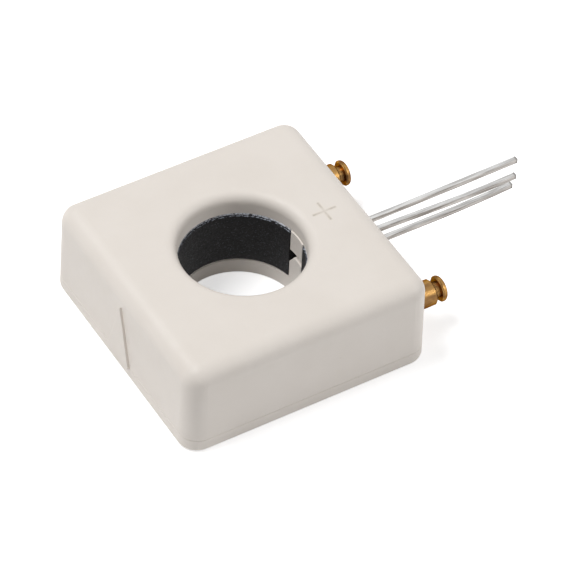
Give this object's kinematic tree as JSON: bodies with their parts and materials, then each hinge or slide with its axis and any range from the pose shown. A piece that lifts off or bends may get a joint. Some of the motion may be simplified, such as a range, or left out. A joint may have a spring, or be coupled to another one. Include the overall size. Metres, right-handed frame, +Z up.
{
  "type": "hall effect current sensor",
  "caption": "Square moulded case with a through hole for a conductor, a gapped ring core bare in the hole, flat leads and grooved brass pins on one side, and a raised triangle mark.",
  "frame": {"origin": "on the axis of the conductor hole, at the underside that the case rests on", "axes": "+Z up along the hole, out of the face with the rounded rim; +X along the leads and pins; the raised triangle is on the -X side"},
  "size_m": [0.033, 0.0196, 0.0076],
  "materials": {
    "case_plastic": "moulded, fine even grain",
    "core_ferrite": "sintered, fine rough grain",
    "package_black": "moulded black epoxy",
    "chip_silicon": "polished silicon",
    "seal_resin": "poured epoxy resin, slightly glossy",
    "tinned_lead": "tin plated strip",
    "pin_brass": "turned brass"
  },
  "bodies": {
    "root": {"case_shell": "case_plastic", "base_plate": "case_plastic", "ring_core": "core_ferrite", "hall_package": "package_black", "hall_chip": "chip_silicon", "lead_seal": "seal_resin", "lead_supply": "tinned_lead", "lead_ground": "tinned_lead", "lead_output": "tinned_lead", "mounting_pin_front": "pin_brass", "mounting_pin_back": "pin_brass"}
  },
  "joints": []
}
